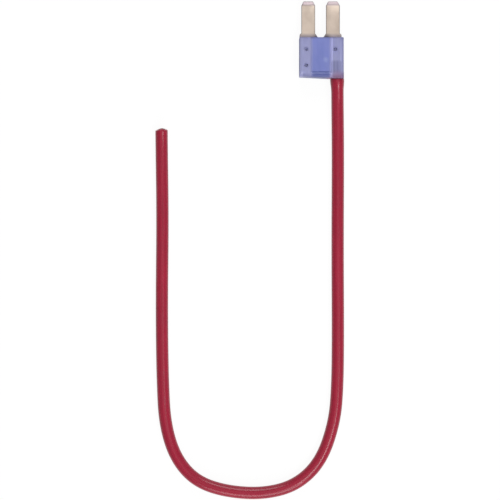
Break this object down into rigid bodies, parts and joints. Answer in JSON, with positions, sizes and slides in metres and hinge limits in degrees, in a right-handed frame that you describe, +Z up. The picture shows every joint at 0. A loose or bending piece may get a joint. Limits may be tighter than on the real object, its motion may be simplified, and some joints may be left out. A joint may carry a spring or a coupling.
{
  "type": "blade fuse with lead",
  "caption": "Small two-blade automotive fuse in a translucent moulded housing, with an insulated tap lead crimped to one leg and cut off plain.",
  "frame": {"origin": "under the middle of the fuse and its blades, on the surface that the fuse and the lead lie on", "axes": "+Y towards the blade tips, +X to the side that the lead leaves from, +Z up out of the broad face"},
  "size_m": [0.0388, 0.1021, 0.0038],
  "materials": {
    "housing_plastic": "translucent blue-violet moulding, glossy",
    "plated_metal": "satin tin-plated zinc alloy",
    "insulation_pvc": "soft semi-gloss red insulation",
    "copper": "bare stranded copper"
  },
  "bodies": {
    "root": {"fuse_housing": "housing_plastic", "fuse_element": "plated_metal", "wire_insulation": "insulation_pvc", "copper_core": "copper"}
  },
  "joints": []
}
